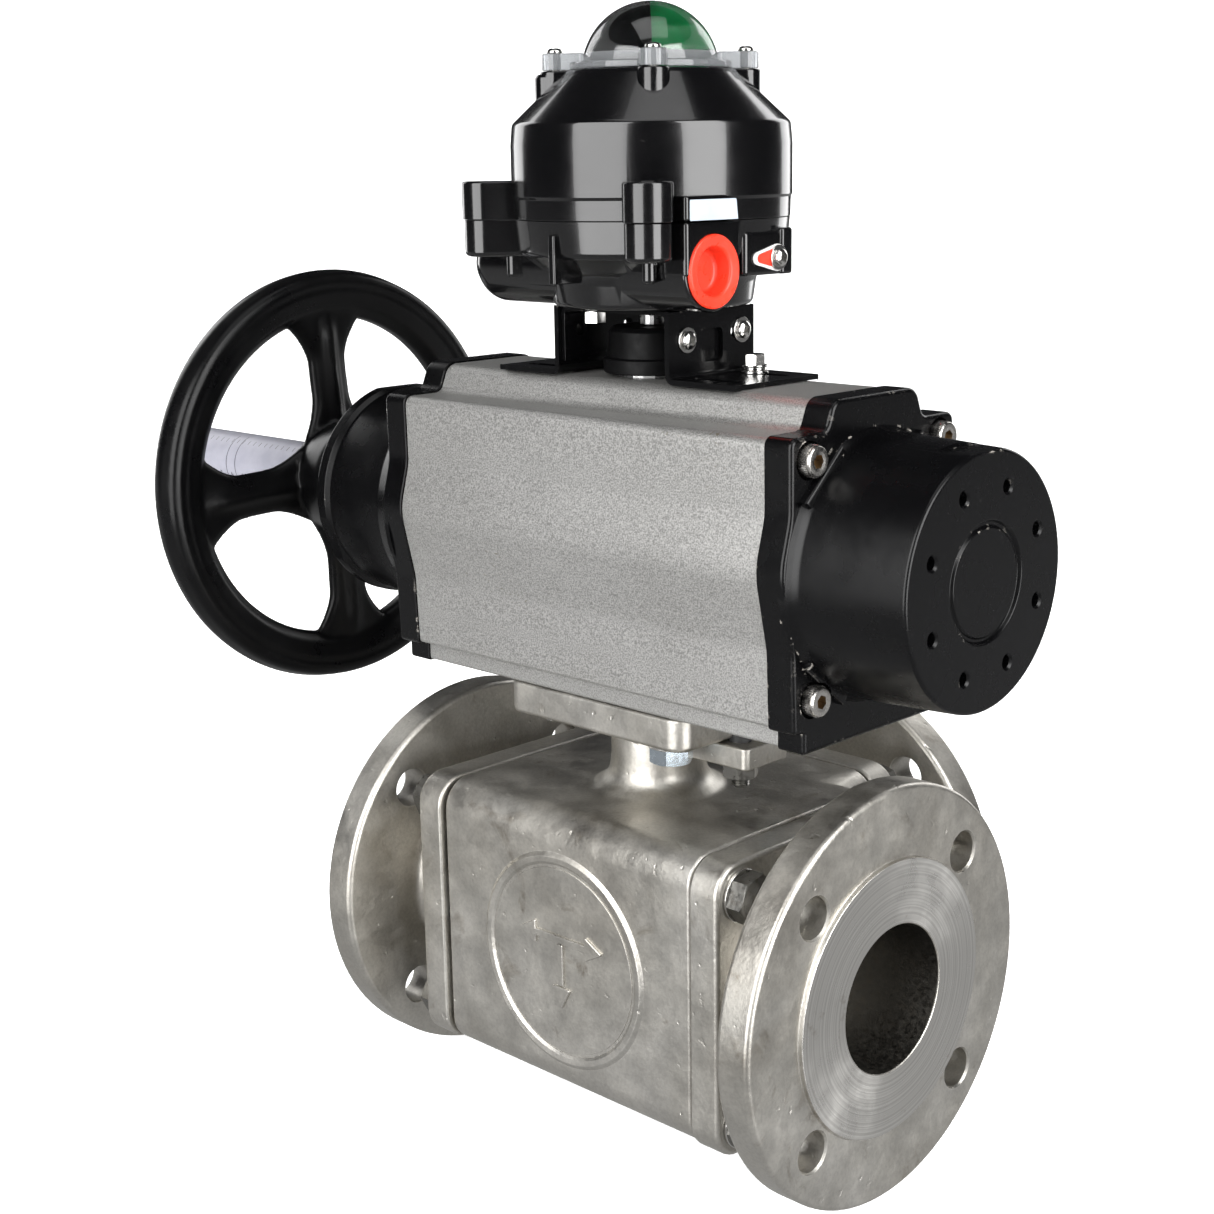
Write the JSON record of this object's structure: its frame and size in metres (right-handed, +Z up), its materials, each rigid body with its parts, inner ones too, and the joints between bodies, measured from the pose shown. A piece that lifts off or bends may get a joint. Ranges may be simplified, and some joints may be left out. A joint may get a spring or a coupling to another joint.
{
  "type": "actuated three-way ball valve",
  "caption": "Three-way flanged ball valve with a pneumatic rack-and-pinion actuator, handwheel override and limit-switch box with domed position indicator.",
  "frame": {"origin": "middle of the bounding box on the floor that the three flange rims stand on", "axes": "+Z up along the stem, +X from the handwheel towards the plain end cap along the run, +Y towards the branch flange"},
  "size_m": [0.535, 0.247, 0.5024],
  "materials": {
    "cast_steel": "satin cast stainless steel, bead blasted, raised faces machined",
    "ptfe": "white fluoropolymer",
    "seal": "black elastomer",
    "polished": "polished stainless steel",
    "bolt_steel": "bright rolled and knurled bolt steel",
    "anodised": "hard anodised, fine grey speckle",
    "black_casting": "gloss black paint on a casting, worn at edges",
    "black_plastic": "black moulded plastic",
    "gear_steel": "machined steel",
    "piston_metal": "cast and machined aluminium",
    "white_scale": "white printed scale sleeve",
    "black_sheet": "gloss black coated sheet steel",
    "clear": "clear polycarbonate",
    "indicator_green": "green and black quadrants",
    "red_plastic": "red moulded plastic",
    "switch_body": "dark moulded plastic"
  },
  "bodies": {
    "valve_and_housings": {"actuator_body": "anodised", "box_cover": "black_casting", "box_housing": "black_casting", "bracket_foot_left": "black_sheet", "bracket_foot_right": "black_sheet", "bracket_platform": "black_sheet", "conduit_plug": "red_plastic", "connector_bolt_1": "bolt_steel", "connector_bolt_2": "bolt_steel", "connector_bolt_3": "bolt_steel", "connector_bolt_4": "bolt_steel", "dome": "clear", "end_cap_left": "black_casting", "end_cap_left_screw_1": "bolt_steel", "end_cap_left_screw_2": "bolt_steel", "end_cap_left_screw_3": "bolt_steel", "end_cap_left_screw_4": "bolt_steel", "end_cap_right": "black_casting", "end_cap_right_screw_1": "bolt_steel", "end_cap_right_screw_2": "bolt_steel", "end_cap_right_screw_3": "bolt_steel", "end_cap_right_screw_4": "bolt_steel", "end_connector_left": "cast_steel", "end_connector_rear": "cast_steel", "end_connector_right": "cast_steel", "gasket_left": "seal", "gasket_rear": "seal", "gasket_right": "seal", "gland_nut": "bolt_steel", "pad_bolt_1": "bolt_steel", "pad_bolt_2": "bolt_steel", "pad_bolt_3": "bolt_steel", "pad_bolt_4": "bolt_steel", "pinion_bearing_bottom": "ptfe", "pinion_bearing_top": "ptfe", "seat_left": "ptfe", "seat_rear": "ptfe", "seat_right": "ptfe", "stem_packing": "ptfe", "switch_lower": "switch_body", "switch_upper": "switch_body", "terminal_strip": "switch_body", "valve_body": "cast_steel"},
    "handwheel_body": {"handwheel": "black_casting", "override_nut": "gear_steel"},
    "spindle_body": {"spindle": "gear_steel", "scale_tube": "black_plastic", "scale_sleeve": "white_scale"},
    "piston_left_body": {"piston_left": "piston_metal", "piston_left_seal": "seal"},
    "piston_right_body": {"piston_right": "piston_metal", "piston_right_seal": "seal"},
    "drive_train": {"ball": "polished", "stem": "bolt_steel", "pinion": "gear_steel", "coupler": "black_plastic", "switch_shaft": "gear_steel", "cam_lower": "ptfe", "cam_upper": "ptfe", "indicator": "indicator_green"}
  },
  "joints": [
    {"name": "handwheel_turn", "type": "hinge", "parent": "valve_and_housings", "child": "handwheel_body", "pos_m": [-0.1395, -0.0165, 0.27755], "axis": [1, 0, 0], "range_deg": [0, 2714.3]},
    {"name": "spindle_slide", "type": "slide", "parent": "valve_and_housings", "child": "spindle_body", "axis": [1, 0, 0], "range_m": [0, 0.0377]},
    {"name": "piston_left_slide", "type": "slide", "parent": "valve_and_housings", "child": "piston_left_body", "axis": [1, 0, 0], "range_m": [0, 0.0377]},
    {"name": "piston_right_slide", "type": "slide", "parent": "valve_and_housings", "child": "piston_right_body", "axis": [-1, 0, 0], "range_m": [0, 0.0377]},
    {"name": "valve_turn", "type": "hinge", "parent": "valve_and_housings", "child": "drive_train", "pos_m": [0.0925, -0.0165, 0.27755], "axis": [0, 0, 1], "range_deg": [0, 90]}
  ],
  "couplings": [
    {"joint": "spindle_slide", "follows": "handwheel_turn", "m_per_rad": 0.00079577},
    {"joint": "piston_left_slide", "follows": "handwheel_turn", "m_per_rad": 0.00079577},
    {"joint": "piston_right_slide", "follows": "handwheel_turn", "m_per_rad": 0.00079577},
    {"joint": "valve_turn", "follows": "handwheel_turn", "ratio": 0.033157}
  ]
}
